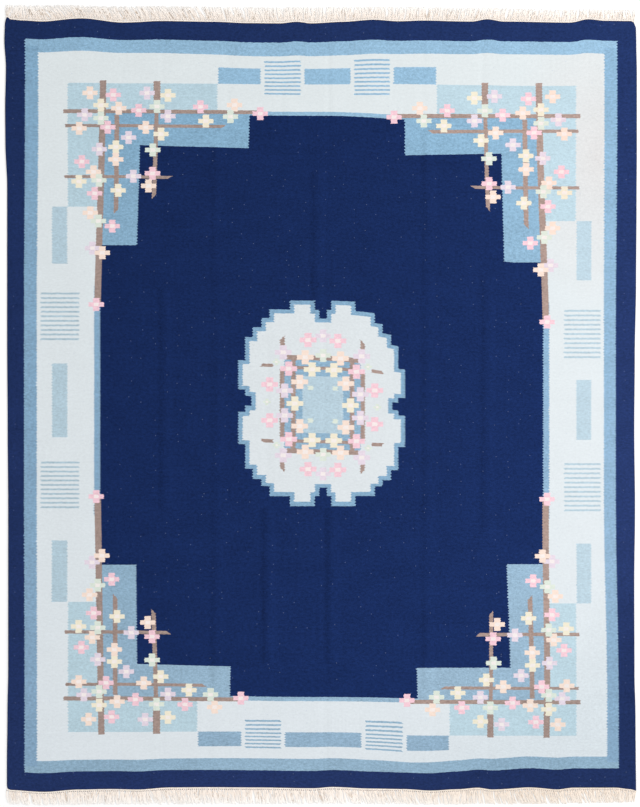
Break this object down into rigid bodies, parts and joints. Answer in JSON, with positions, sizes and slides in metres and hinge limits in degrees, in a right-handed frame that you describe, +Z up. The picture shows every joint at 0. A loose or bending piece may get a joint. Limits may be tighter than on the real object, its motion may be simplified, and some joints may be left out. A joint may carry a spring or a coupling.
{
  "type": "dhurrie",
  "caption": "Flat-woven cotton rug: dark field with a stepped medallion, branch-and-blossom corners, a pale barred border, plain selvedges and fringed ends, lying flat.",
  "frame": {"origin": "on the floor, under the middle of the rug's outline with its fringes", "axes": "+Z up out of the patterned face, +Y along the rug from its near fringe to its far one, +X across it to the right"},
  "size_m": [2.439, 3.1222, 0.004],
  "materials": {
    "dyed_cotton": "matt flat weave with fine cross ribs, dyed navy with mid blue, pale blue, ice, brown and pastel figures",
    "bare_cotton": "matt undyed cotton yarn"
  },
  "bodies": {
    "root": {"cloth": "dyed_cotton", "fringe_far": "bare_cotton", "fringe_near": "bare_cotton"}
  },
  "joints": []
}
